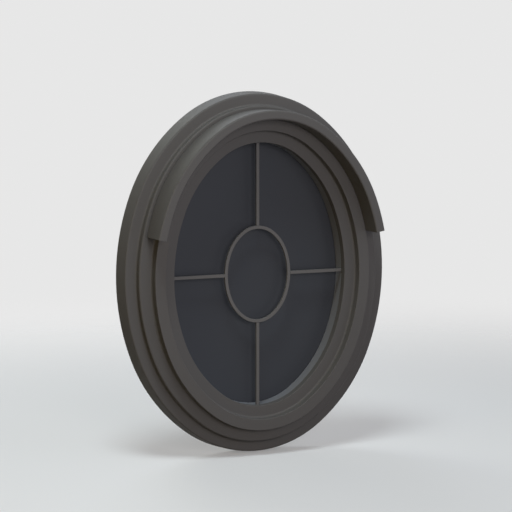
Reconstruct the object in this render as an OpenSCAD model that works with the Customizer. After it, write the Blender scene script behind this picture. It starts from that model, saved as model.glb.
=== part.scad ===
// Oval window: a fixed double-glazed light in an oval frame, with a stepped surround
// and a hood mould on its upper half.
// The wall face is the plane y = 0, the front looks along -y and +z is up.
// Insets are measured in from the surround's outer edge, depths out from the wall face.

/* [Oval] */
// Height of the surround over its outer edge
overall_h = 1200; // [1050:10:1350]
// Width of the surround over its outer edge
overall_w = 940; // [860:10:1020]

/* [Surround] */
// Depth of the outer step, out from the wall
base_d = 68; // [55:1:80]
// How far the side of the outer step leans in over its depth
side_batter = 7; // [1:0.5:12]
// Width of the outer step
base_w = 45; // [38:1:60]
// How far the middle step stands out from the outer one
middle_rise = 27; // [18:1:40]
// Width of the middle step
middle_w = 43; // [40:1:60]
// How far the face stands out from the middle step
face_rise = 33; // [20:1:45]
// Width of the face
face_w = 37.5; // [30:0.5:50]
// How far the band inside the face is set back from it
band_drop = 31; // [20:1:40]
// Width of the band
band_w = 39.5; // [30:0.5:50]
// Thickness of the lip that covers the front of the window frame
lip_t = 25; // [18:1:35]
// Radius of the cove at the foot of each step
cove_r = 6; // [3:0.5:9]
// Radius that eases the arrises of the face, the band and the window frame
arris_r = 2; // [1:0.25:3]
// Radius of the rounded edges of the outer step, the middle step and the hood
edge_r = 6; // [3:0.5:8]

/* [Hood mould] */
// Thickness of the hood, across the oval
hood_t = 30.7; // [24:0.1:31]
// How far the hood stands out from the middle step
hood_reach = 113; // [80:1:140]
// Direction, up from level, of each end of the hood
hood_end = 11.5; // [4:0.5:18]
// Width of the shadow line along the outer foot of the hood
hood_quirk = 5; // [2:0.5:6]
// Gap between the hood and the side of the face
hood_gap = 0.3; // [0.2:0.1:0.6]
// Number of dowels that hold the hood
hood_dowel_n = 7; // [5:1:11]
// Diameter of each dowel
dowel_dia = 10; // [8:0.5:12]
// Length of each dowel
dowel_len = 60; // [40:1:80]
// Radial gap around a dowel
dowel_gap = 0.1; // [0.05:0.05:0.3]

/* [Wall studs] */
// Diameter of the threaded studs that are bonded into the wall
stud_dia = 12; // [8:1:16]
// Length of stud behind the wall face
stud_out = 80; // [50:5:120]
// Diameter of the anchors of the studs in the surround, wider than the studs
stud_in_dia = 16; // [14:1:20]
// Length of the anchors
stud_in = 45; // [30:1:50]
// Inset of the studs
stud_inset = 58; // [40:1:75]
// Direction, up from level, of the four haunch studs
stud_dir = 40; // [35:1:50]
// Gap around an anchor in the surround
stud_gap = 0.3; // [0.2:0.1:0.5]

/* [Window frame] */
// Width of the frame across its front
frame_w = 44; // [40:1:60]
// How far the frame stands behind its glazing bead
frame_stand = 7; // [4:1:30]
// How far the reveal of the frame is set out from the surround's opening
reveal_step = 1; // [0.5:0.5:4]
// Radius that eases the front edge of the reveal
reveal_ease = 1; // [0.5:0.25:2]
// Thickness of the sealing tape behind the lip
tape_t = 2; // [1:0.5:4]
// How far the tape stops short of the opening
tape_setback = 2; // [1:0.5:6]
// Gap around the frame in the surround
frame_gap = 2; // [1:0.5:4]

/* [Glazing] */
// Depth of the face of the glass, out from the wall face
glass_d = 24; // [18:1:30]
// How far the frame covers the edge of the glass
edge_cover = 16; // [12:1:20]
// Gap between the edge of the glass and its rebate
glass_gap = 4; // [3:0.5:6]
// Thickness of each pane
pane_t = 4; // [4:1:6]
// Width of the space between the panes
space_t = 16; // [12:1:20]
// Thickness of each gasket
gasket_t = 3; // [2:0.5:4]
// How far each gasket stops short of the reveal
gasket_setback = 2; // [1:0.5:4]
// Width of the secondary seal round the edge of the glass
edge_seal_w = 4.5; // [3:0.5:6]
// Width of the spacer bar across the sight line
spacer_w = 6.5; // [5:0.5:8]
// Length of each setting and location block
block_len = 80; // [50:5:100]
// Depth of each block, through the unit
block_w = 20; // [16:1:24]

/* [Glazing bead] */
// Depth of the bead, front to back
bead_d = 20; // [19:1:26]
// Radius of the quarter round on the bead's back edge
bead_round = 8; // [4:0.5:10]
// Gap between the bead and the rebate
bead_gap = 0.3; // [0.2:0.1:0.6]
// Number of bead screws
bead_screw_n = 12; // [8:2:16]

/* [Glazing bars] */
// Width of every bar seen from the front
bar_w = 11; // [9:0.5:16]
// Thickness of every bar, front to back
bar_t = 8; // [6:0.5:12]
// How far the bars are set back from the front of the frame
bar_setback = 0.5; // [0.5:0.5:10]
// Height of the oval hub over its outer edge
hub_h = 322; // [280:2:360]
// Width of the oval hub over its outer edge
hub_w = 236; // [200:2:260]
// Radius that eases the front edges of the bars
bar_ease = 1.5; // [0.5:0.25:2.5]
// Gap at each end of a spoke
spoke_gap = 0.1; // [0.1:0.05:0.3]
// Diameter of the pins in the ends of the spokes
pin_dia = 4; // [3:0.5:5]
// Length of pin in a spoke
pin_in_bar = 15; // [10:1:25]
// Length of pin in the frame
pin_in_frame = 12; // [8:1:20]
// Length of pin in the hub
pin_in_hub = 7; // [5:0.5:8]
// Radial gap around a pin
pin_gap = 0.05; // [0.05:0.05:0.2]

/* [Fixing straps] */
// Number of straps round the frame
strap_n = 6; // [6:2:8]
// Width of each strap
strap_w = 30; // [24:1:40]
// Thickness of each strap
strap_t = 2.5; // [2:0.25:4]
// Length of each strap
strap_len = 110; // [90:5:150]
// Diameter of each wall hole in a strap
strap_hole_dia = 7; // [5:0.5:9]
// Distance between the two holes at the wall end of a strap
strap_hole_gap = 35; // [30:1:45]

/* [Screws] */
// Diameter of the strap and bead screws
screw_dia = 4; // [3:0.5:5]
// Diameter of their heads
head_dia = 8; // [7:0.5:9]
// Height of their heads
head_h = 2.2; // [1.5:0.1:2.5]
// Length of a strap screw under its head
strap_screw_len = 24; // [18:1:26]
// How far the heads of the bead screws are sunk
head_sink = 0.3; // [0.2:0.1:0.6]
// Length of a bead screw with its head
bead_screw_len = 30; // [25:1:34]
// Radial gap around a screw
screw_gap = 0.1; // [0.05:0.05:0.3]

/* [Hidden] */
$fn = 180;
round_fn = 32;
eps = 0.5;

half_h = overall_h / 2;
half_w = overall_w / 2;

// Insets of the surround's steps and depths of their faces
middle_in = base_w + middle_w;
face_in = middle_in + face_w;
opening_in = face_in + band_w;
middle_d = base_d + middle_rise;
face_d = middle_d + face_rise;
band_d = face_d - band_drop;
lip_back_d = band_d - lip_t;

// Inset at which the outer side meets its rounded edge, in whole hundredths so that both
// start from the same point
side_in = round(100 * side_batter * (1 - edge_r / base_d)) / 100;

hood_in = middle_in - hood_gap;
hood_out = hood_in - hood_t;
hood_d = middle_d + hood_reach;
hood_mid = (hood_in + hood_out) / 2;
hood_relief = cove_r + hood_gap;
dowel_margin = 7;

// The frame, from its reveal outwards
reveal_in = opening_in - reveal_step;
frame_in = reveal_in - frame_w;
pocket_in = frame_in - frame_gap;
frame_d = lip_back_d - tape_t;
rebate_in = reveal_in - edge_cover;
rebate_d = glass_d + gasket_t;

// The sealed unit and what holds it
glass_in = rebate_in + glass_gap;
unit_t = 2 * pane_t + space_t;
unit_back_d = glass_d - unit_t;
seal_in = glass_in + edge_seal_w;
spacer_in = seal_in + spacer_w;
bead_front_d = unit_back_d - gasket_t;
bead_back_d = bead_front_d - bead_d;
bead_screw_d = (bead_front_d + bead_back_d + bead_round) / 2;
frame_back = frame_stand - bead_back_d;

// The bars lie just behind the front of the frame
bar_d = frame_d - bar_setback;
bar_back_d = bar_d - bar_t;
bar_mid_d = (bar_d + bar_back_d) / 2;

// The straps start just behind the surround and are screwed near the frame's back edge
strap_front = 3;
strap_screw_end = 6;
strap_screw_step = 10;
strap_hole_end = 15;

// Directions, up from level, in which the side and crown arcs meet the haunch arc between
// them. Both have exact decimals, so neighbouring arcs share their joint exactly.
flank_dir = [0.936, 0.352];
crown_dir = [0.6, 0.8];
wedge_reach = 1500;
wedge_height = 800;
core_margin = 2;

function angle_of(v) = atan2(v[1], v[0]);
function toward(dir) = [cos(dir), sin(dir)];
function left(v) = [-v[0], v[1]];
function down(v) = [v[0], -v[1]];
function ellipse_radius(a, b, dir) =
    pow(a * b, 2) / pow(pow(a * sin(dir), 2) + pow(b * cos(dir), 2), 1.5);

// Arcs of an oval with half axes a, up, and b, across, that follow an ellipse: the haunch
// arc's radius is close to the ellipse's own there, and the other two close the outline.
// Each is [centre, radius, first direction, last direction].
function oval_arcs(a, b) =
    let (
        haunch_r = ellipse_radius(a, b, (angle_of(flank_dir) + angle_of(crown_dir)) / 2),
        flank_lead = flank_dir[0] + flank_dir[1] - 1,
        crown_lead = crown_dir[0] + crown_dir[1] - 1,
        crown_share = (1 - crown_dir[1]) / crown_lead,
        flank_step = round(
            (a - haunch_r + crown_share * (a - b)) / (flank_dir[1] + crown_share * flank_lead)
        ),
        crown_step = (a - b - flank_lead * flank_step) / crown_lead,
        flank_r = b + flank_dir[0] * flank_step + crown_dir[0] * crown_step,
        flank_x = b - flank_r,
        haunch_x = flank_x + flank_step * flank_dir[0],
        haunch_z = flank_step * flank_dir[1],
        crown_r = flank_r - flank_step - crown_step,
        quarter = [[haunch_x, haunch_z], flank_r - flank_step, flank_dir, crown_dir]
    )
    [
        [[flank_x, 0], flank_r, down(flank_dir), flank_dir],
        quarter,
        [[0, a - crown_r], crown_r, crown_dir, left(crown_dir)],
        [left(quarter[0]), quarter[1], left(crown_dir), left(flank_dir)],
        [[-flank_x, 0], flank_r, left(flank_dir), -flank_dir],
        [-quarter[0], quarter[1], -flank_dir, -crown_dir],
        [[0, crown_r - a], crown_r, -crown_dir, down(crown_dir)],
        [down(quarter[0]), quarter[1], down(crown_dir), down(flank_dir)]
    ];

main_arcs = oval_arcs(half_h, half_w);
hub_arcs = oval_arcs(hub_h / 2, hub_w / 2);

// The hood follows the arcs from one of its ends, over the crown, to the other
hood_arcs = [
    [main_arcs[0][0], main_arcs[0][1], toward(hood_end), flank_dir],
    main_arcs[1],
    main_arcs[2],
    main_arcs[3],
    [main_arcs[4][0], main_arcs[4][1], left(flank_dir), toward(180 - hood_end)]
];

// The arc that holds a direction, and the point of the oval there at an inset
function arc_at(dir) = [
    for (arc = main_arcs)
    if (cross(arc[2], toward(dir)) >= 0 && cross(toward(dir), arc[3]) > 0) arc
][0];
function oval_point(dir, inset) =
    let (arc = arc_at(dir))
    arc[0] + (arc[1] - inset) * toward(dir);
function unit(v) = v / norm(v);

hood_dirs = [
    for (i = [0 : hood_dowel_n - 1])
    let (first = hood_end + dowel_margin)
    first + i * (180 - 2 * first) / (hood_dowel_n - 1)
];
stud_dirs = [stud_dir, 180 - stud_dir, 180 + stud_dir, 360 - stud_dir, 90, 270];
strap_dirs = dirs_round(strap_n);
bead_screw_dirs = dirs_round(bead_screw_n);
setting_dirs = [250, 290];
location_dirs = [0, 70, 110, 180];

// Directions in equal steps all round, alike on the left and the right
function dirs_round(n) = [for (i = [0 : n - 1]) (i + 0.5) * 360 / n];

// A polygon from rows of [x, y, radius]: outer corners are eased and inner ones coved
module eased_polygon(rows) {
    n = len(rows);
    points = [for (row = rows) [row[0], row[1]]];
    turning = sign([for (i = [0 : n - 1]) cross(points[i], points[(i + 1) % n])] * [for (row = rows) 1]);
    rounded = [for (i = [0 : n - 1]) if (rows[i][2] > 0) i];
    outer = [for (i = rounded) if (turning * corner_turn(points, i) > 0) i];
    inner = [for (i = rounded) if (turning * corner_turn(points, i) < 0) i];
    difference() {
        union() {
            polygon(points);
            for (i = inner) corner_web(points, i, rows[i][2]);
        }
        for (i = outer) corner_web(points, i, rows[i][2]);
    }
}

function corner_turn(points, i) =
    let (n = len(points))
    cross(points[i] - points[(i + n - 1) % n], points[(i + 1) % n] - points[i]);

// What lies between a corner and the circle that touches both its sides
module corner_web(points, i, r) {
    n = len(points);
    corner = points[i];
    u = unit(points[(i + n - 1) % n] - corner);
    v = unit(points[(i + 1) % n] - corner);
    half = acos(u * v) / 2;
    centre = corner + unit(u + v) * r / sin(half);
    reach = r / tan(half);
    grow = 1 + eps / r;
    difference() {
        polygon(concat(
            [centre],
            [for (q = [corner + u * reach, corner, corner + v * reach]) centre + (q - centre) * grow]
        ));
        translate(centre) circle(r, $fn = round_fn);
    }
}

// A section in rows of [inset, depth, radius]
module section(rows) {
    eased_polygon([for (row = rows) [-row[0], row[1], row[2]]]);
}

// Sweeps a section round the arcs of an oval
module oval_ring(arcs) {
    for (arc = arcs) oval_sector(arc) children();
}

// Sweeps a section round one arc, from its first direction to its last
module oval_sector(arc) {
    rotate([90, 0, 0]) translate(arc[0]) intersection() {
        rotate_extrude() translate([arc[1], 0]) children();
        linear_extrude(wedge_height, center = true) wedge(arc);
    }
}

// What lies between the directions of an arc, from a distance outwards
module wedge(arc, start = 1) {
    polygon([start * arc[2], wedge_reach * arc[2], wedge_reach * arc[3], start * arc[3]]);
}

// The flat outline of the main oval at an inset: a core with a corner just inside each
// joint of the arcs, and a segment for each arc
module oval_plan(inset) {
    polygon([for (arc = main_arcs) arc[0] + (arc[1] - inset - core_margin) * arc[2]]);
    for (arc = main_arcs) translate(arc[0]) intersection() {
        circle(arc[1] - inset);
        wedge(arc, arc[1] - inset - 2 * core_margin);
    }
}

// Places children on the oval, with their z axis out of the wall
module standing_at(dir, inset) {
    p = oval_point(dir, inset);
    translate([p[0], 0, p[1]]) rotate([90, 0, 0]) children();
}

// Places children on the oval, with their x axis outwards across it
module across_at(dir, inset, depth) {
    p = oval_point(dir, inset);
    translate([p[0], -depth, p[1]]) rotate([0, -dir, 0]) children();
}

// A pane of the main oval at an inset, from one depth to another
module oval_pane(inset, back, front) {
    rotate([90, 0, 0]) translate([0, 0, back]) linear_extrude(front - back) oval_plan(inset);
}

// A bar along x, from one distance to another
module bar(from, to) {
    translate([from, 0, 0]) rotate([90, 0, 90]) linear_extrude(to - from) eased_polygon([
        [-bar_d, -bar_w / 2, bar_ease],
        [-bar_back_d, -bar_w / 2, 0],
        [-bar_back_d, bar_w / 2, 0],
        [-bar_d, bar_w / 2, bar_ease]
    ]);
}

// A pin or its bore along x
module pin_along(from, to, gap) {
    translate([from, -bar_mid_d, 0]) rotate([0, 90, 0])
        cylinder(h = to - from, d = pin_dia + 2 * gap, $fn = round_fn);
}

// A spoke with the bores for its pins, turned to a direction
module spoke(dir, hub_edge, frame_edge) {
    inner = hub_edge + spoke_gap;
    outer = frame_edge - spoke_gap;
    rotate([0, -dir, 0]) difference() {
        bar(inner, outer);
        pin_along(inner - eps, inner + pin_in_bar + pin_gap, pin_gap);
        pin_along(outer - pin_in_bar - pin_gap, outer + eps, pin_gap);
    }
}

// The pins of a spoke, grown by a gap where they are cut as bores
module spoke_pins(dir, hub_edge, frame_edge, gap) {
    rotate([0, -dir, 0]) {
        pin_along(hub_edge - pin_in_hub - gap, hub_edge + spoke_gap + pin_in_bar, gap);
        pin_along(frame_edge - spoke_gap - pin_in_bar, frame_edge + pin_in_frame + gap, gap);
    }
}

module all_spoke_pins(gap) {
    for (dir = [0, 180]) spoke_pins(dir, hub_w / 2, half_w - reveal_in, gap);
    for (dir = [90, 270]) spoke_pins(dir, hub_h / 2, half_h - reveal_in, gap);
}

// A countersunk screw along -x, with its head at the origin
module countersunk_screw(len, gap) {
    rotate([0, -90, 0]) rotate_extrude($fn = round_fn) polygon([
        [0, 0],
        [head_dia / 2 + gap, 0],
        [screw_dia / 2 + gap, head_h],
        [screw_dia / 2 + gap, len + gap],
        [0, len + gap]
    ]);
}

// The bore for a countersunk screw, open past the curved face that its head is sunk in
module countersunk_bore() {
    countersunk_screw(bead_screw_len, screw_gap);
    rotate([0, 90, 0]) cylinder(h = head_sink + eps, d = head_dia + 2 * screw_gap, $fn = round_fn);
}

// A pan-headed screw along -x, with the underside of its head at the origin
module pan_screw(len) {
    rotate([0, -90, 0]) cylinder(h = len, d = screw_dia, $fn = round_fn);
    rotate([0, 90, 0]) cylinder(h = head_h, d = head_dia, $fn = round_fn);
}

module surround() {
    color([0.36, 0.35, 0.34]) difference() {
        oval_ring(main_arcs) section([
            [0, 0, 0],
            [pocket_in, 0, 0],
            [pocket_in, lip_back_d, 0],
            [opening_in, lip_back_d, 0],
            [opening_in, band_d, arris_r],
            [face_in, band_d, cove_r],
            [face_in, face_d, arris_r],
            [middle_in, face_d, arris_r],
            [middle_in, middle_d, cove_r],
            [base_w, middle_d, edge_r],
            [base_w, base_d, cove_r],
            [side_in, base_d, edge_r],
            [side_in, base_d - edge_r, 0]
        ]);
        for (dir = stud_dirs) standing_at(dir, stud_inset) translate([0, 0, -eps])
            cylinder(h = stud_in + stud_gap + eps, d = stud_in_dia + 2 * stud_gap, $fn = round_fn);
        for (dir = hood_dirs) standing_at(dir, hood_mid)
            translate([0, 0, middle_d - dowel_len / 2 - dowel_gap])
            cylinder(h = dowel_len, d = dowel_dia + 2 * dowel_gap, $fn = round_fn);
    }
}

module hood_mould() {
    color([0.37, 0.36, 0.35]) difference() {
        oval_ring(hood_arcs) section([
            [hood_out, middle_d + hood_quirk, 0],
            [hood_out + hood_quirk, middle_d, 0],
            [hood_in - hood_relief, middle_d, 0],
            [hood_in, middle_d + hood_relief, 0],
            [hood_in, hood_d, edge_r],
            [hood_out, hood_d, edge_r]
        ]);
        for (dir = hood_dirs) standing_at(dir, hood_mid) translate([0, 0, middle_d - eps])
            cylinder(h = dowel_len / 2 + dowel_gap + eps, d = dowel_dia + 2 * dowel_gap, $fn = round_fn);
    }
}

module hood_dowels() {
    color("burlywood") for (dir = hood_dirs) standing_at(dir, hood_mid)
        translate([0, 0, middle_d - dowel_len / 2]) cylinder(h = dowel_len, d = dowel_dia, $fn = round_fn);
}

module wall_studs() {
    color("silver") for (dir = stud_dirs) standing_at(dir, stud_inset) {
        translate([0, 0, -stud_out]) cylinder(h = stud_out, d = stud_dia, $fn = round_fn);
        cylinder(h = stud_in, d = stud_in_dia, $fn = round_fn);
    }
}

module window_frame() {
    color([0.42, 0.42, 0.44]) difference() {
        oval_ring(main_arcs) section([
            [frame_in, -frame_back, arris_r],
            [rebate_in, -frame_back, arris_r],
            [rebate_in, rebate_d, 0],
            [reveal_in, rebate_d, 0],
            [reveal_in, frame_d, reveal_ease],
            [frame_in, frame_d, 0]
        ]);
        all_spoke_pins(pin_gap);
        for (dir = bead_screw_dirs) across_at(dir, reveal_in - head_sink, bead_screw_d) mirror([1, 0, 0])
            countersunk_bore();
        for (dir = strap_dirs, y = strap_screw_ys()) across_at(dir, frame_in, -y)
            rotate([0, -90, 0]) translate([0, 0, -eps])
            cylinder(h = strap_screw_len, d = screw_dia + 2 * screw_gap, $fn = round_fn);
    }
}

function strap_screw_ys() = [for (i = [0, 1]) frame_back - strap_screw_end - i * strap_screw_step];

module frame_tape() {
    color([0.12, 0.12, 0.12]) oval_ring(main_arcs) section([
        [frame_in, frame_d, 0],
        [opening_in - tape_setback, frame_d, 0],
        [opening_in - tape_setback, lip_back_d, 0],
        [frame_in, lip_back_d, 0]
    ]);
}

module frame_straps() {
    color("lightsteelblue") for (dir = strap_dirs) difference() {
        across_at(dir, frame_in, 0) translate([0, strap_front, -strap_w / 2])
            cube([strap_t, strap_len, strap_w]);
        for (y = strap_screw_ys()) strap_bore(dir, y, screw_dia / 2 + screw_gap);
        for (y = strap_hole_ys()) strap_bore(dir, y, strap_hole_dia / 2);
    }
}

function strap_hole_ys() = [
    for (i = [0, 1]) strap_front + strap_len - strap_hole_end - i * strap_hole_gap
];

module strap_bore(dir, y, r) {
    across_at(dir, frame_in, -y) rotate([0, 90, 0]) translate([0, 0, -eps])
        cylinder(h = strap_t + 2 * eps, r = r, $fn = round_fn);
}

module strap_screws() {
    color("gainsboro") for (dir = strap_dirs, y = strap_screw_ys())
        across_at(dir, frame_in, -y) translate([strap_t, 0, 0]) pan_screw(strap_screw_len);
}

module hub_ring() {
    color([0.36, 0.35, 0.35]) difference() {
        oval_ring(hub_arcs) section([
            [0, bar_back_d, 0],
            [bar_w, bar_back_d, 0],
            [bar_w, bar_d, bar_ease],
            [0, bar_d, bar_ease]
        ]);
        all_spoke_pins(pin_gap);
    }
}

module spoke_top() {
    color([0.36, 0.35, 0.35]) spoke(90, hub_h / 2, half_h - reveal_in);
}

module spoke_bottom() {
    color([0.36, 0.35, 0.35]) spoke(270, hub_h / 2, half_h - reveal_in);
}

module spoke_left() {
    color([0.36, 0.35, 0.35]) spoke(180, hub_w / 2, half_w - reveal_in);
}

module spoke_right() {
    color([0.36, 0.35, 0.35]) spoke(0, hub_w / 2, half_w - reveal_in);
}

module bar_pins() {
    color("silver") all_spoke_pins(0);
}

module outer_pane() {
    color([0.21, 0.22, 0.23]) oval_pane(glass_in, glass_d - pane_t, glass_d);
}

module inner_pane() {
    color([0.21, 0.22, 0.23]) oval_pane(glass_in, unit_back_d, unit_back_d + pane_t);
}

module spacer_bar() {
    color("silver") oval_ring(main_arcs) section([
        [seal_in, unit_back_d + pane_t, 0],
        [spacer_in, unit_back_d + pane_t, 0],
        [spacer_in, glass_d - pane_t, 0],
        [seal_in, glass_d - pane_t, 0]
    ]);
}

module edge_seal() {
    color([0.1, 0.1, 0.1]) oval_ring(main_arcs) section([
        [glass_in, unit_back_d + pane_t, 0],
        [seal_in, unit_back_d + pane_t, 0],
        [seal_in, glass_d - pane_t, 0],
        [glass_in, glass_d - pane_t, 0]
    ]);
}

module gasket(back, front) {
    oval_ring(main_arcs) section([
        [glass_in, back, 0],
        [reveal_in - gasket_setback, back, 0],
        [reveal_in - gasket_setback, front, 0],
        [glass_in, front, 0]
    ]);
}

module outer_gasket() {
    color([0.12, 0.12, 0.12]) gasket(glass_d, rebate_d);
}

module inner_gasket() {
    color([0.12, 0.12, 0.12]) gasket(bead_front_d, unit_back_d);
}

// A packing block in the gap round the glass, centred on a direction
module block_at(dir) {
    arc = arc_at(dir);
    half_span = block_len / 2 / (arc[1] - rebate_in) * 180 / PI;
    unit_mid_d = (glass_d + unit_back_d) / 2;
    oval_sector([arc[0], arc[1], toward(dir - half_span), toward(dir + half_span)]) section([
        [rebate_in, unit_mid_d - block_w / 2, 0],
        [glass_in, unit_mid_d - block_w / 2, 0],
        [glass_in, unit_mid_d + block_w / 2, 0],
        [rebate_in, unit_mid_d + block_w / 2, 0]
    ]);
}

module setting_blocks() {
    color("darkslategray") for (dir = setting_dirs) block_at(dir);
}

module location_blocks() {
    color("darkslategray") for (dir = location_dirs) block_at(dir);
}

module glazing_bead() {
    color([0.42, 0.42, 0.44]) difference() {
        oval_ring(main_arcs) section([
            [rebate_in + bead_gap, bead_back_d, 0],
            [reveal_in, bead_back_d, bead_round],
            [reveal_in, bead_front_d, 0],
            [rebate_in + bead_gap, bead_front_d, 0]
        ]);
        for (dir = bead_screw_dirs) across_at(dir, reveal_in - head_sink, bead_screw_d) mirror([1, 0, 0])
            countersunk_bore();
    }
}

module bead_screws() {
    color("silver") for (dir = bead_screw_dirs) across_at(dir, reveal_in - head_sink, bead_screw_d)
        mirror([1, 0, 0]) countersunk_screw(bead_screw_len, 0);
}

surround();
hood_mould();
hood_dowels();
wall_studs();
window_frame();
frame_tape();
frame_straps();
strap_screws();
hub_ring();
spoke_top();
spoke_bottom();
spoke_left();
spoke_right();
bar_pins();
outer_pane();
inner_pane();
spacer_bar();
edge_seal();
outer_gasket();
inner_gasket();
setting_blocks();
location_blocks();
glazing_bead();
bead_screws();
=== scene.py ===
import bpy, bmesh, math
from mathutils import Matrix, Vector


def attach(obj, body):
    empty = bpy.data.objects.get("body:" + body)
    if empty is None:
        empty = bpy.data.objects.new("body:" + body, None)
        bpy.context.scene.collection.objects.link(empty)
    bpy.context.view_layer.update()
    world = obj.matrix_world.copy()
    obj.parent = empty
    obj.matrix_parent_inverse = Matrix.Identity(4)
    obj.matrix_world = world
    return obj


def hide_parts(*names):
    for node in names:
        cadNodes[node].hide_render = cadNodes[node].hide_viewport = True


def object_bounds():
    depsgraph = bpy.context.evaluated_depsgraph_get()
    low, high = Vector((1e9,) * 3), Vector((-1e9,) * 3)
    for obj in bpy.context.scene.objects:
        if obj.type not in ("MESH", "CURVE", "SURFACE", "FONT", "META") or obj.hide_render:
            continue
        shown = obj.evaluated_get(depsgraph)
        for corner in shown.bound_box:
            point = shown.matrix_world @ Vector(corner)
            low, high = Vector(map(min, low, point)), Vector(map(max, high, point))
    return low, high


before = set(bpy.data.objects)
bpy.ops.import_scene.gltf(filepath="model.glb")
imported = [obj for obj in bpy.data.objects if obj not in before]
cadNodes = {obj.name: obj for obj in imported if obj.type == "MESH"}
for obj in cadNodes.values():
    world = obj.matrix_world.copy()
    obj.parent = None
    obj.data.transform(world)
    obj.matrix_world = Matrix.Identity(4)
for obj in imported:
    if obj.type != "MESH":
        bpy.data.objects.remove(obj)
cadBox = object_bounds()
print("frame loaded,", len(cadNodes), "nodes")

# The camera stands to the left of the window and a little above its centre.
# The middle of the oval is seen at centreX, centreY of the picture.
cameraSettings = {
    "yaw": 23.61,          # degrees to the left of straight on
    "pitch": 6.38,         # degrees down
    "distance": 5.98,      # metres to the oval's middle, along the view
    "focalPixels": 1795,
    "pictureSize": 512,
    "centreX": 249.56,
    "centreY": 271.92,
    "sensor": 36,          # millimetres
    "clipEnd": 100,
}


def makeCamera(s):
    yaw, pitch = math.radians(s["yaw"]), math.radians(s["pitch"])
    forward = Vector((math.sin(yaw) * math.cos(pitch), math.cos(yaw) * math.cos(pitch), -math.sin(pitch)))
    right = Vector((math.cos(yaw), -math.sin(yaw), 0))
    up = right.cross(forward)
    middle = s["pictureSize"] / 2
    across = (s["centreX"] - middle) / s["focalPixels"] * s["distance"]
    rise = (middle - s["centreY"]) / s["focalPixels"] * s["distance"]
    place = -(right * across + up * rise + forward * s["distance"])
    bpy.ops.object.camera_add()
    camera = bpy.context.object
    camera.name = "windowCamera"
    turn = Matrix((right, up, -forward)).transposed()
    camera.matrix_world = Matrix.Translation(place) @ turn.to_4x4()
    camera.data.sensor_width = s["sensor"]
    camera.data.lens = s["focalPixels"] / s["pictureSize"] * s["sensor"]
    camera.data.clip_end = s["clipEnd"]
    bpy.context.scene.camera = camera


makeCamera(cameraSettings)
print("camera placed")

# Helpers for shader nodes


def addNode(tree, kind, **settings):
    node = tree.nodes.new(kind)
    for key, value in settings.items():
        setattr(node, key, value)
    return node


def plug(tree, value, socket):
    if isinstance(value, (int, float)):
        socket.default_value = value
    else:
        tree.links.new(value, socket)


def addMath(tree, operation, first, second=0.0, clamp=False):
    node = addNode(tree, "ShaderNodeMath", operation=operation, use_clamp=clamp)
    plug(tree, first, node.inputs[0])
    plug(tree, second, node.inputs[1])
    return node.outputs[0]


def addNoise(tree, place, scale, detail=3.0, roughness=0.5):
    node = addNode(tree, "ShaderNodeTexNoise")
    plug(tree, place, node.inputs["Vector"])
    plug(tree, scale, node.inputs["Scale"])
    node.inputs["Detail"].default_value = detail
    node.inputs["Roughness"].default_value = roughness
    return node.outputs["Fac"]


def swing(tree, value, amount):
    # Turns a 0 to 1 pattern into a factor around 1
    return addMath(tree, "ADD", addMath(tree, "MULTIPLY", addMath(tree, "SUBTRACT", value, 0.5), amount), 1.0)


def scaleColour(tree, colour, amount):
    node = addNode(tree, "ShaderNodeVectorMath", operation="SCALE")
    plug(tree, colour, node.inputs[0])
    plug(tree, amount, node.inputs["Scale"])
    return node.outputs[0]


def newGroup(name, inputs, outputs):
    group = bpy.data.node_groups.new(name, "ShaderNodeTree")
    for label, kind, value in inputs:
        group.interface.new_socket(label, in_out="INPUT", socket_type=kind).default_value = value
    for label, kind in outputs:
        group.interface.new_socket(label, in_out="OUTPUT", socket_type=kind)
    return group, group.nodes.new("NodeGroupInput").outputs, group.nodes.new("NodeGroupOutput").inputs


floatKind, colourKind = "NodeSocketFloat", "NodeSocketColor"
finishOutputs = [("Colour", colourKind), ("Roughness", floatKind), ("Height", floatKind)]

paintPattern = {
    "cloudSize": 3.2, "streakSize": 38, "cloudShare": 0.7, "streakShare": 0.3, "streakHeight": 0.6,
}


def makePaintGroup(s):
    # Rolled paint: broad clouds of tone, faint streaks and the stipple of the roller
    group, given, result = newGroup("rolledPaint", [
        ("Colour", colourKind, (0.1, 0.1, 0.1, 1)),
        ("Cloud", floatKind, 0.1),
        ("Stipple Size", floatKind, 500),
        ("Roughness", floatKind, 0.5),
        ("Gloss Change", floatKind, 0.12),
    ], finishOutputs)
    place = addNode(group, "ShaderNodeTexCoord").outputs["Object"]
    clouds = addNoise(group, place, s["cloudSize"], detail=4, roughness=0.55)
    streaks = addNoise(group, place, s["streakSize"], detail=3, roughness=0.6)
    stipple = addNoise(group, place, given["Stipple Size"], detail=2)
    cloudPart = addMath(group, "MULTIPLY", clouds, s["cloudShare"])
    mixed = addMath(group, "ADD", cloudPart, addMath(group, "MULTIPLY", streaks, s["streakShare"]))
    plug(group, scaleColour(group, given["Colour"], swing(group, mixed, given["Cloud"])), result["Colour"])
    change = addMath(group, "MULTIPLY", addMath(group, "SUBTRACT", streaks, 0.5), given["Gloss Change"])
    plug(group, addMath(group, "ADD", given["Roughness"], change, clamp=True), result["Roughness"])
    raised = addMath(group, "MULTIPLY", streaks, s["streakHeight"])
    plug(group, addMath(group, "ADD", stipple, raised), result["Height"])
    return group


metalPattern = {"dullSize": 25, "dullTone": 0.25, "dullRoughness": 0.7, "crystalRoughness": 0.12}


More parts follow.
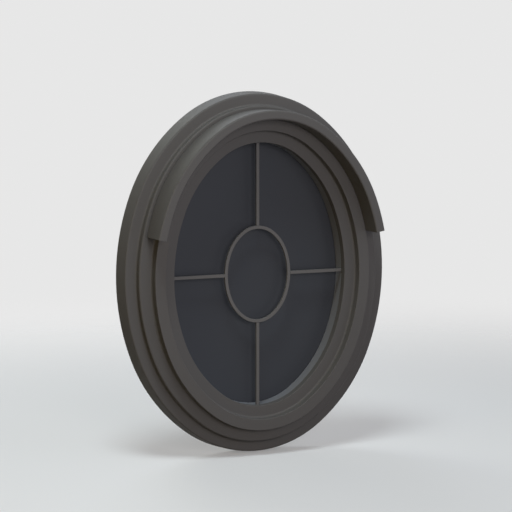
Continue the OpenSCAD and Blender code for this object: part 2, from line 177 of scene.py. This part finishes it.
def makeMetalGroup(s):
    # Plated metal: crystals of slightly different tone under fine scratches
    group, given, result = newGroup("platedMetal", [
        ("Colour", colourKind, (0.5, 0.5, 0.5, 1)),
        ("Spangle", floatKind, 0.3),
        ("Crystal Size", floatKind, 120),
        ("Roughness", floatKind, 0.4),
        ("Scratch Size", floatKind, 900),
    ], finishOutputs)
    place = addNode(group, "ShaderNodeTexCoord").outputs["Object"]
    crystals = addNode(group, "ShaderNodeTexVoronoi")
    plug(group, place, crystals.inputs["Vector"])
    plug(group, given["Crystal Size"], crystals.inputs["Scale"])
    shade = addNode(group, "ShaderNodeSeparateColor")
    plug(group, crystals.outputs["Color"], shade.inputs[0])
    scratches = addNoise(group, place, given["Scratch Size"], detail=3, roughness=0.6)
    dull = addNoise(group, place, s["dullSize"], detail=3, roughness=0.6)
    spangle = swing(group, shade.outputs[0], given["Spangle"])
    tone = addMath(group, "MULTIPLY", spangle, swing(group, dull, s["dullTone"]))
    plug(group, scaleColour(group, given["Colour"], tone), result["Colour"])
    rough = addMath(group, "MULTIPLY", given["Roughness"], swing(group, dull, s["dullRoughness"]))
    change = addMath(group, "SUBTRACT", shade.outputs[1], 0.5)
    change = addMath(group, "MULTIPLY", change, s["crystalRoughness"])
    plug(group, addMath(group, "ADD", rough, change, clamp=True), result["Roughness"])
    plug(group, scratches, result["Height"])
    return group


mouldedPattern = {"patchSize": 14, "grainTone": 0.3, "patchRoughness": 0.3}


def makeMouldedGroup(s):
    # Rubber, foam and moulded plastic: a fine skin with dusty patches
    group, given, result = newGroup("mouldedSkin", [
        ("Colour", colourKind, (0.03, 0.03, 0.03, 1)),
        ("Dust", floatKind, 0.3),
        ("Grain Size", floatKind, 1500),
        ("Roughness", floatKind, 0.7),
    ], finishOutputs)
    place = addNode(group, "ShaderNodeTexCoord").outputs["Object"]
    patches = addNoise(group, place, s["patchSize"], detail=4, roughness=0.6)
    grain = addNoise(group, place, given["Grain Size"], detail=2)
    dusty = swing(group, patches, given["Dust"])
    tone = addMath(group, "MULTIPLY", dusty, swing(group, grain, s["grainTone"]))
    plug(group, scaleColour(group, given["Colour"], tone), result["Colour"])
    patchy = swing(group, patches, s["patchRoughness"])
    plug(group, addMath(group, "MULTIPLY", given["Roughness"], patchy, clamp=True), result["Roughness"])
    plug(group, grain, result["Height"])
    return group


finishGroups = {
    "paint": makePaintGroup(paintPattern),
    "metal": makeMetalGroup(metalPattern),
    "moulded": makeMouldedGroup(mouldedPattern),
}
print("shader groups built")

# Finishes. Colours are linear, a depth is in metres, and words with a capital go to the group.
finishes = {
    "surroundPaint": {"group": "paint", "Colour": (0.085, 0.081, 0.078), "Cloud": 0.10, "Stipple Size": 420,
                      "Roughness": 0.60, "depth": 0.00015, "gloss": 0.10},
    "framePaint": {"group": "paint", "Colour": (0.148, 0.152, 0.164), "Cloud": 0.07, "Stipple Size": 620,
                   "Roughness": 0.60, "depth": 0.00008, "gloss": 0.25},
    "barPaint": {"group": "paint", "Colour": (0.096, 0.092, 0.089), "Cloud": 0.07, "Stipple Size": 800,
                 "Roughness": 0.60, "depth": 0.00006, "gloss": 0.25},
    "zinc": {"group": "metal", "Colour": (0.52, 0.53, 0.53), "Spangle": 0.10, "Crystal Size": 260,
             "Roughness": 0.34, "depth": 0.00003, "metallic": 1.0},
    "strapSteel": {"group": "metal", "Colour": (0.50, 0.51, 0.52), "Spangle": 0.45, "Crystal Size": 130,
                   "Roughness": 0.42, "depth": 0.00004, "metallic": 1.0},
    "spacerMetal": {"group": "metal", "Colour": (0.62, 0.63, 0.64), "Spangle": 0.08, "Crystal Size": 300,
                    "Roughness": 0.36, "depth": 0.00002, "metallic": 1.0},
    "rubber": {"group": "moulded", "Colour": (0.018, 0.018, 0.019), "Dust": 0.5, "Grain Size": 1600,
               "Roughness": 0.72, "depth": 0.00006},
    "foamTape": {"group": "moulded", "Colour": (0.035, 0.035, 0.037), "Dust": 0.4, "Grain Size": 900,
                 "Roughness": 0.92, "depth": 0.00030},
    "packerPlastic": {"group": "moulded", "Colour": (0.015, 0.045, 0.038), "Dust": 0.25, "Grain Size": 1200,
                      "Roughness": 0.45, "depth": 0.00004},
}
finishBump = 0.6    # strength of the bump in all of them


def newMaterial(name):
    material = bpy.data.materials.new(name)
    material.use_nodes = True
    return material, material.node_tree, material.node_tree.nodes["Principled BSDF"]


def addBump(tree, shader, height, strength, depth):
    bump = addNode(tree, "ShaderNodeBump")
    bump.inputs["Strength"].default_value = strength
    bump.inputs["Distance"].default_value = depth
    plug(tree, height, bump.inputs["Height"])
    plug(tree, bump.outputs[0], shader.inputs["Normal"])


def makeFinish(name, s):
    material, tree, shader = newMaterial(name)
    skin = addNode(tree, "ShaderNodeGroup", node_tree=finishGroups[s["group"]])
    for label, value in s.items():
        if label in skin.inputs:
            skin.inputs[label].default_value = (*value, 1) if label == "Colour" else value
    plug(tree, skin.outputs["Colour"], shader.inputs["Base Color"])
    plug(tree, skin.outputs["Roughness"], shader.inputs["Roughness"])
    shader.inputs["Metallic"].default_value = s.get("metallic", 0.0)
    shader.inputs["Specular IOR Level"].default_value = s.get("gloss", 0.5)
    addBump(tree, shader, skin.outputs["Height"], finishBump, s["depth"])
    return material


materials = {name: makeFinish(name, settings) for name, settings in finishes.items()}

glassFinish = {
    "colour": (0.041, 0.044, 0.051), "ripple": 1.8, "tone": 0.08, "roughness": 0.35, "gloss": 0.12,
    "bump": 0.1, "bumpDepth": 0.001,
}


def makeGlass(s):
    # Dark slate glass, whose face ripples very slightly
    material, tree, shader = newMaterial("slateGlass")
    place = addNode(tree, "ShaderNodeTexCoord").outputs["Object"]
    ripple = addNoise(tree, place, s["ripple"], detail=1, roughness=0.4)
    colour = addNode(tree, "ShaderNodeRGB")
    colour.outputs[0].default_value = (*s["colour"], 1)
    toned = scaleColour(tree, colour.outputs[0], swing(tree, ripple, s["tone"]))
    plug(tree, toned, shader.inputs["Base Color"])
    shader.inputs["Roughness"].default_value = s["roughness"]
    shader.inputs["Specular IOR Level"].default_value = s["gloss"]
    addBump(tree, shader, ripple, s["bump"], s["bumpDepth"])
    return material


beechFinish = {
    "light": (0.52, 0.36, 0.20), "dark": (0.33, 0.20, 0.10), "alongGrain": 0.06, "grainSize": 260,
    "fleckSize": 1100, "fleckTone": 0.8, "roughness": 0.5, "roughnessChange": 0.2, "bump": 0.4,
    "bumpDepth": 0.00006,
}


def makeBeech(s):
    # Bare beech: long soft grain with short dark flecks
    material, tree, shader = newMaterial("bareBeech")
    place = addNode(tree, "ShaderNodeTexCoord").outputs["Object"]
    stretch = addNode(tree, "ShaderNodeMapping")
    stretch.inputs["Scale"].default_value = (1, s["alongGrain"], 1)
    plug(tree, place, stretch.inputs["Vector"])
    grain = addNoise(tree, stretch.outputs[0], s["grainSize"], detail=4, roughness=0.6)
    flecks = addNoise(tree, stretch.outputs[0], s["fleckSize"], detail=2)
    blend = addNode(tree, "ShaderNodeMix", data_type="RGBA")
    # A colour mix takes its share at socket 0 and its two colours at 6 and 7, and gives one at 2
    share = addMath(tree, "MULTIPLY", grain, swing(tree, flecks, s["fleckTone"]), clamp=True)
    plug(tree, share, blend.inputs[0])
    blend.inputs[6].default_value = (*s["light"], 1)
    blend.inputs[7].default_value = (*s["dark"], 1)
    plug(tree, blend.outputs[2], shader.inputs["Base Color"])
    change = addMath(tree, "MULTIPLY", grain, s["roughnessChange"])
    plug(tree, addMath(tree, "ADD", s["roughness"], change), shader.inputs["Roughness"])
    addBump(tree, shader, flecks, s["bump"], s["bumpDepth"])
    return material


materials["slateGlass"] = makeGlass(glassFinish)
materials["bareBeech"] = makeBeech(beechFinish)
print("materials made")

nodeFinishes = {
    "surroundPaint": ["surround", "hood_mould"],
    "framePaint": ["window_frame", "glazing_bead"],
    "barPaint": ["hub_ring", "spoke_top", "spoke_bottom", "spoke_left", "spoke_right"],
    "slateGlass": ["outer_pane", "inner_pane"],
    "spacerMetal": ["spacer_bar"],
    "rubber": ["edge_seal", "outer_gasket", "inner_gasket"],
    "foamTape": ["frame_tape"],
    "packerPlastic": ["setting_blocks", "location_blocks"],
    "bareBeech": ["hood_dowels"],
    "zinc": ["bar_pins", "wall_studs", "strap_screws", "bead_screws"],
    "strapSteel": ["frame_straps"],
}


def dress(piece, finish):
    piece.data.materials.clear()
    piece.data.materials.append(materials[finish])


for finish, nodes in nodeFinishes.items():
    for node in nodes:
        dress(cadNodes[node], finish)
print("CAD nodes dressed")

# The quarter of the oval in three arcs: centre x and z, radius and the direction at which it ends
ovalArcs = [
    (-0.297816, 0.0, 0.767816, 20.61),
    (-0.106872, 0.071808, 0.563816, 53.13),
    (0.0, 0.214304, 0.385696, 90.01),
]
straightUp = 1e-9    # a direction with less sideways part than this has none


def ovalPoint(direction, inset):
    # A point of the oval's outline, moved in by the inset
    angle = math.radians(direction)
    across, up = math.cos(angle), math.sin(angle)
    steep = math.degrees(math.atan2(abs(up), abs(across)))
    x, z, radius = next(arc[:3] for arc in ovalArcs if steep <= arc[3])
    x += (radius - inset) * abs(across)
    z += (radius - inset) * abs(up)
    return Vector((math.copysign(x, across) if abs(across) > straightUp else 0.0, 0, math.copysign(z, up)))


# Helpers for modelling
nearly = 1e-5                     # metres, within which a point counts as on a plane
topFace = 0.9                     # least upward part of a top face's normal
smoothAngle = math.radians(35)    # flatter edges than this are shaded smooth


def startPiece(addPrimitive, name, **settings):
    bpy.ops.object.select_all(action="DESELECT")
    addPrimitive(**settings)
    piece = bpy.context.object
    piece.name = name
    return piece


def useModifier(piece, kind, **settings):
    modifier = piece.modifiers.new(kind.lower(), kind)
    for key, value in settings.items():
        setattr(modifier, key, value)
    bpy.context.view_layer.objects.active = piece
    bpy.ops.object.modifier_apply(modifier=modifier.name)


def cutWith(piece, tool, operation="DIFFERENCE"):
    useModifier(piece, "BOOLEAN", object=tool, operation=operation, solver="EXACT")
    bpy.data.objects.remove(tool)


def selectWhere(piece, test, kind="VERT"):
    # Leaves the piece in edit mode with what passes the test selected
    bpy.ops.object.mode_set(mode="EDIT")
    bpy.ops.mesh.select_mode(type=kind)
    bpy.ops.mesh.select_all(action="DESELECT")
    mesh = bmesh.from_edit_mesh(piece.data)
    for item in {"VERT": mesh.verts, "EDGE": mesh.edges, "FACE": mesh.faces}[kind]:
        if test(item):
            item.select_set(True)
    mesh.select_flush_mode()
    bmesh.update_edit_mesh(piece.data)


def leaveEdit():
    bpy.ops.object.mode_set(mode="OBJECT")


def placeCopies(model, name, turns):
    # One copy of the model for each placing, joined into one piece at the origin
    copies = []
    for turn in turns:
        copy = model.copy()
        copy.data = model.data.copy()
        bpy.context.collection.objects.link(copy)
        copy.matrix_world = turn
        copies.append(copy)
    bpy.data.objects.remove(model)
    bpy.ops.object.select_all(action="DESELECT")
    for copy in copies:
        copy.select_set(True)
    bpy.context.view_layer.objects.active = copies[0]
    bpy.ops.object.transform_apply(location=True, rotation=True, scale=True)
    bpy.ops.object.join()
    piece = bpy.context.object
    piece.name = name
    bpy.ops.object.shade_smooth_by_angle(angle=smoothAngle)
    return piece


def finishPiece(piece, finish, slot, *nodes):
    dress(piece, finish)
    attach(piece, "root")
    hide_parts(*nodes)


# Wall studs: a rolled thread from the wall's face back into the wall, and a plain anchor in the surround
studSettings = {
    "length": 0.080, "radius": 0.00595, "rootRadius": 0.0050, "crestRadius": 0.0061, "pitch": 0.00175,
    "steps": 24, "chamfer": 0.0012, "anchorLength": 0.045, "anchorRadius": 0.008, "anchorBevel": 0.0015,
    "inset": 0.058, "directions": (40, 140, 220, 320, 90, 270), "sides": 48,
    "crestBand": 0.3, "crestFlat": 0.3, "spareTurns": 4, "footTurns": 2, "endTurns": 1.2,
    "weld": 1e-6, "needle": 3e-6,
}


def makeStuds(s):
    turns = math.ceil(s["length"] / s["pitch"]) + s["spareTurns"]
    rod = startPiece(bpy.ops.mesh.primitive_plane_add, "studRod", size=s["pitch"],
                     location=(s["rootRadius"], 0, 0), rotation=(math.pi / 2, 0, 0))
    bpy.ops.object.transform_apply(location=True, rotation=True, scale=True)
    # One upright edge of the plane becomes the profile of a thread
    selectWhere(rod, lambda v: v.co.x > s["rootRadius"])
    bpy.ops.mesh.delete(type="VERT")
    bpy.ops.mesh.select_all(action="SELECT")
    bpy.ops.transform.translate(value=(s["pitch"] / 2, 0, 0))
    bpy.ops.mesh.subdivide(number_cuts=3)
    leaveEdit()
    # The three middle points move out to the crest, and close up to make it narrow
    selectWhere(rod, lambda v: abs(v.co.z) < s["pitch"] * s["crestBand"])
    bpy.ops.transform.translate(value=(s["crestRadius"] - s["rootRadius"], 0, 0))
    bpy.ops.transform.resize(value=(1, 1, s["crestFlat"]), center_override=(0, 0, 0))
    leaveEdit()
    useModifier(rod, "SCREW", axis="Z", angle=math.tau, screw_offset=s["pitch"], iterations=turns,
                steps=s["steps"], render_steps=s["steps"], use_merge_vertices=False)
    selectWhere(rod, lambda v: True)
    bpy.ops.mesh.remove_doubles(threshold=s["weld"])
    for height, upper in ((s["pitch"] * s["endTurns"], False), (s["pitch"] * (turns - s["endTurns"]), True)):
        bpy.ops.mesh.select_all(action="SELECT")
        bpy.ops.mesh.bisect(plane_co=(0, 0, height), plane_no=(0, 0, 1), use_fill=True,
                            clear_inner=not upper, clear_outer=upper)
    bpy.ops.mesh.select_all(action="SELECT")
    bpy.ops.mesh.normals_make_consistent(inside=False)
    leaveEdit()
    foot = s["pitch"] * s["footTurns"]
    bar = startPiece(bpy.ops.mesh.primitive_cylinder_add, "studBar", radius=s["radius"], depth=s["length"],
                     vertices=s["sides"], location=(0, 0, foot + s["length"] / 2))
    bpy.ops.object.transform_apply(location=True)
    top = foot + s["length"]
    selectWhere(bar, lambda e: all(v.co.z > top - nearly for v in e.verts), "EDGE")
    bpy.ops.mesh.bevel(offset=s["chamfer"], segments=1)
    leaveEdit()
    cutWith(bar, rod, "INTERSECT")
    bpy.ops.object.select_all(action="DESELECT")
    bar.select_set(True)
    bpy.context.view_layer.objects.active = bar
    bar.location.z = -foot
    bpy.ops.object.transform_apply(location=True)
    anchor = startPiece(bpy.ops.mesh.primitive_cylinder_add, "studAnchor", radius=s["anchorRadius"],
                        depth=s["anchorLength"], vertices=s["sides"], location=(0, 0, -s["anchorLength"] / 2))
    bpy.ops.object.transform_apply(location=True)
    selectWhere(anchor, lambda e: all(v.co.z < nearly - s["anchorLength"] for v in e.verts), "EDGE")
    bpy.ops.mesh.bevel(offset=s["anchorBevel"], segments=3)
    leaveEdit()
    cutWith(bar, anchor, "UNION")
    # The cuts leave needle faces a few thousandths of a millimetre wide, which are merged away
    selectWhere(bar, lambda v: True)
    bpy.ops.mesh.remove_doubles(threshold=s["needle"])
    bpy.ops.mesh.dissolve_degenerate(threshold=s["needle"])
    leaveEdit()
    turned = Matrix.Rotation(-math.pi / 2, 4, "X")
    places = [Matrix.Translation(ovalPoint(d, s["inset"])) @ turned for d in s["directions"]]
    return placeCopies(bar, "threadedStuds", places)


studs = makeStuds(studSettings)
finishPiece(studs, "zinc", "zinc", "wall_studs")
print("studs:", len(studs.data.polygons), "faces")

# Screws with a cross recess. Each is modelled with its head's top at the origin and its shank along -Z.
screwSettings = {
    "headRadius": 0.004, "headHeight": 0.0022, "shankRadius": 0.002, "recessWidth": 0.0009,
    "recessLength": 0.0046, "recessDepth": 0.0013, "recessTaper": (0.35, 0.7, 1), "headSides": 32,
    "domeShare": 0.6, "domeSteps": 4, "panShankSides": 16,
    "strapShank": 0.024, "strapInset": 0.120, "strapThickness": 0.0025, "strapRows": (0.024, 0.014),
    "strapDirections": (30, 90, 150, 210, 270, 330),
    "beadLength": 0.030, "beadInset": 0.1637, "beadRow": 0.009,
    "beadDirections": tuple(range(15, 360, 30)),
}


def cutRecess(screw, s):
    # The two tapered slots of the cross
    for turn in (0, math.pi / 2):
        slot = startPiece(bpy.ops.mesh.primitive_cube_add, "recessTool", size=1, location=(0, 0, 0))
        slot.dimensions = (s["recessLength"], s["recessWidth"], s["recessDepth"] * 2)
        bpy.ops.object.transform_apply(location=True, scale=True)
        selectWhere(slot, lambda v: v.co.z < 0)
        bpy.ops.transform.resize(value=s["recessTaper"], center_override=(0, 0, 0))
        bpy.ops.mesh.select_all(action="SELECT")
        bpy.ops.transform.rotate(value=turn, orient_axis="Z", center_override=(0, 0, 0))
        leaveEdit()
        cutWith(screw, slot)


def makePanScrew(s):
    head = startPiece(bpy.ops.mesh.primitive_cylinder_add, "panScrew", radius=s["headRadius"],
                      depth=s["headHeight"], vertices=s["headSides"], location=(0, 0, -s["headHeight"] / 2))
    bpy.ops.object.transform_apply(location=True)
    selectWhere(head, lambda e: all(v.co.z > -nearly for v in e.verts), "EDGE")
    bpy.ops.mesh.bevel(offset=s["headHeight"] * s["domeShare"], segments=s["domeSteps"], profile=0.5)
    leaveEdit()
    depth = s["strapShank"] + s["headHeight"] / 2
    shank = startPiece(bpy.ops.mesh.primitive_cylinder_add, "panShank", radius=s["shankRadius"], depth=depth,
                       vertices=s["panShankSides"], location=(0, 0, -s["headHeight"] / 2 - depth / 2))
    bpy.ops.object.transform_apply(location=True)
    cutWith(head, shank, "UNION")
    cutRecess(head, s)
    return head


def makeSunkScrew(s):
    screw = startPiece(bpy.ops.mesh.primitive_cylinder_add, "sunkScrew", radius=s["shankRadius"],
                       depth=s["beadLength"], vertices=s["headSides"], location=(0, 0, -s["beadLength"] / 2))
    bpy.ops.object.transform_apply(location=True)
    # The head is drawn out of the top of the shank
    selectWhere(screw, lambda f: f.normal.z > topFace, "FACE")
    bpy.ops.transform.translate(value=(0, 0, -s["headHeight"]))
    bpy.ops.mesh.extrude_region_move(TRANSFORM_OT_translate={"value": (0, 0, s["headHeight"])})
    wider = s["headRadius"] / s["shankRadius"]
    bpy.ops.transform.resize(value=(wider, wider, 1), center_override=(0, 0, 0))
    leaveEdit()
    cutRecess(screw, s)
    return screw


def facing(direction, inset, along, outward):
    # A placing on the oval with the screw's head facing away from, or towards, the oval's middle
    point = ovalPoint(direction, inset) + Vector((0, along, 0))
    tilt = math.radians(90 - direction) if outward else math.radians(270 - direction)
    return Matrix.Translation(point) @ Matrix.Rotation(tilt, 4, "Y")


def strapPlaces(s):
    lift = s["strapThickness"] + s["headHeight"]
    return [facing(d, s["strapInset"] - lift, row, True)
            for d in s["strapDirections"] for row in s["strapRows"]]


def beadPlaces(s):
    return [facing(d, s["beadInset"], s["beadRow"], False) for d in s["beadDirections"]]


strapScrews = placeCopies(makePanScrew(screwSettings), "strapScrewSet", strapPlaces(screwSettings))
finishPiece(strapScrews, "zinc", "zinc", "strap_screws")
beadScrews = placeCopies(makeSunkScrew(screwSettings), "beadScrewSet", beadPlaces(screwSettings))
finishPiece(beadScrews, "zinc", "zinc", "bead_screws")
print("screws:", len(strapScrews.data.polygons), "and", len(beadScrews.data.polygons), "faces")

# The floor lies just under the surround. To the camera it is pale and fades into the background;
# as a source of light it is darker, so that the undersides stay dark.
stageSettings = {
    "floorRadius": 6.0, "floorSides": 64, "fadeStart": 1.0, "fadeEnd": 4.2, "floorRoughness": 0.9,
    "floorColour": (0.50, 0.50, 0.50), "floorGlow": 0.22, "bounceColour": (0.11, 0.10, 0.08),
    "skyColour": (0.80, 0.80, 0.80), "skyLight": (0.84, 0.87, 1.0), "skyPower": 0.96,
    "skyFacing": (0.7071, -0.7071, 0.0), "skyFocus": 2.0,
}


def seenDirectly(tree):
    path = addNode(tree, "ShaderNodeLightPath")
    seen = addMath(tree, "ADD", path.outputs["Is Camera Ray"], path.outputs["Is Glossy Ray"])
    return addMath(tree, "ADD", seen, path.outputs["Is Transmission Ray"], clamp=True)


def mixShaders(tree, amount, first, second):
    mix = addNode(tree, "ShaderNodeMixShader")
    plug(tree, amount, mix.inputs[0])
    plug(tree, first, mix.inputs[1])
    plug(tree, second, mix.inputs[2])
    return mix.outputs[0]


def makeFloor(s):
    bpy.ops.object.select_all(action="DESELECT")
    bpy.ops.mesh.primitive_circle_add(vertices=s["floorSides"], radius=s["floorRadius"], fill_type="NGON",
                                      location=(0, 0, cadBox[0][2]))
    floor = bpy.context.object
    floor.name = "floor"
    material, tree, shader = newMaterial("paleFloor")
    shader.inputs["Base Color"].default_value = (*s["floorColour"], 1)
    shader.inputs["Roughness"].default_value = s["floorRoughness"]
    shader.inputs["Specular IOR Level"].default_value = 0
    shader.inputs["Emission Color"].default_value = (1, 1, 1, 1)
    shader.inputs["Emission Strength"].default_value = s["floorGlow"]
    dark = addNode(tree, "ShaderNodeBsdfDiffuse")
    dark.inputs["Color"].default_value = (*s["bounceColour"], 1)
    surface = mixShaders(tree, seenDirectly(tree), dark.outputs[0], shader.outputs[0])
    place = addNode(tree, "ShaderNodeTexCoord").outputs["Object"]
    reach = addNode(tree, "ShaderNodeVectorMath", operation="LENGTH")
    plug(tree, place, reach.inputs[0])
    fade = addNode(tree, "ShaderNodeMapRange", interpolation_type="SMOOTHERSTEP")
    plug(tree, reach.outputs["Value"], fade.inputs["Value"])
    fade.inputs["From Min"].default_value = s["fadeStart"]
    fade.inputs["From Max"].default_value = s["fadeEnd"]
    clear = addNode(tree, "ShaderNodeBsdfTransparent")
    surface = mixShaders(tree, fade.outputs[0], surface, clear.outputs[0])
    plug(tree, surface, tree.nodes["Material Output"].inputs["Surface"])
    floor.data.materials.append(material)


def makeSky(s):
    world = bpy.data.worlds.new("studio")
    world.use_nodes = True
    bpy.context.scene.world = world
    tree = world.node_tree
    light = tree.nodes["Background"]
    light.inputs["Color"].default_value = (*s["skyLight"], 1)
    # The sky lights the window softly from the front right, and not at all from the other side
    toward = addNode(tree, "ShaderNodeVectorMath", operation="DOT_PRODUCT")
    plug(tree, addNode(tree, "ShaderNodeTexCoord").outputs["Generated"], toward.inputs[0])
    toward.inputs[1].default_value = s["skyFacing"]
    lobe = addMath(tree, "POWER", addMath(tree, "MAXIMUM", toward.outputs["Value"], 0.0), s["skyFocus"])
    plug(tree, addMath(tree, "MULTIPLY", lobe, s["skyPower"]), light.inputs["Strength"])
    seen = addNode(tree, "ShaderNodeBackground")
    seen.inputs["Color"].default_value = (*s["skyColour"], 1)
    surface = mixShaders(tree, seenDirectly(tree), light.outputs[0], seen.outputs[0])
    plug(tree, surface, tree.nodes["World Output"].inputs["Surface"])


makeFloor(stageSettings)
makeSky(stageSettings)

# Large soft lamps, placed and sized in metres: high above, low in front, a warm one at the left,
# two that rim the top from behind, and one for the back.
lamps = {
    "overheadLamp": {"place": (-1.1, -1.45, 4.0), "size": 1.4, "power": 128, "colour": (0.87, 0.97, 1.0)},
    "frontLamp": {"place": (-0.6, -5.0, 0.9), "size": 2.0, "power": 106, "colour": (1.0, 0.94, 0.94)},
    "leftLamp": {"place": (-4.2, -1.6, 0.6), "size": 2.0, "power": 22, "colour": (1.0, 0.66, 0.10)},
    "rimLamp": {"place": (0.3, 3.5, 3.2), "size": 2.0, "power": 48, "colour": (0.82, 0.86, 1.0)},
    "leftRimLamp": {"place": (-0.9, 3.7, 3.1), "size": 2.0, "power": 40, "colour": (0.94, 1.0, 0.86)},
    "backLamp": {"place": (0.9, 5.0, 0.6), "size": 2.0, "power": 85, "colour": (1.0, 0.97, 0.94)},
}


def makeLamp(name, s):
    bpy.ops.object.light_add(type="AREA", location=s["place"])
    lamp = bpy.context.object
    lamp.name = name
    lamp.rotation_euler = (-Vector(s["place"])).to_track_quat("-Z", "Y").to_euler()
    lamp.data.size = s["size"]
    lamp.data.energy = s["power"]
    lamp.data.color = s["colour"]


for name, settings in lamps.items():
    makeLamp(name, settings)
bpy.context.scene.view_settings.view_transform = "Standard"
print("stage and lamps set")
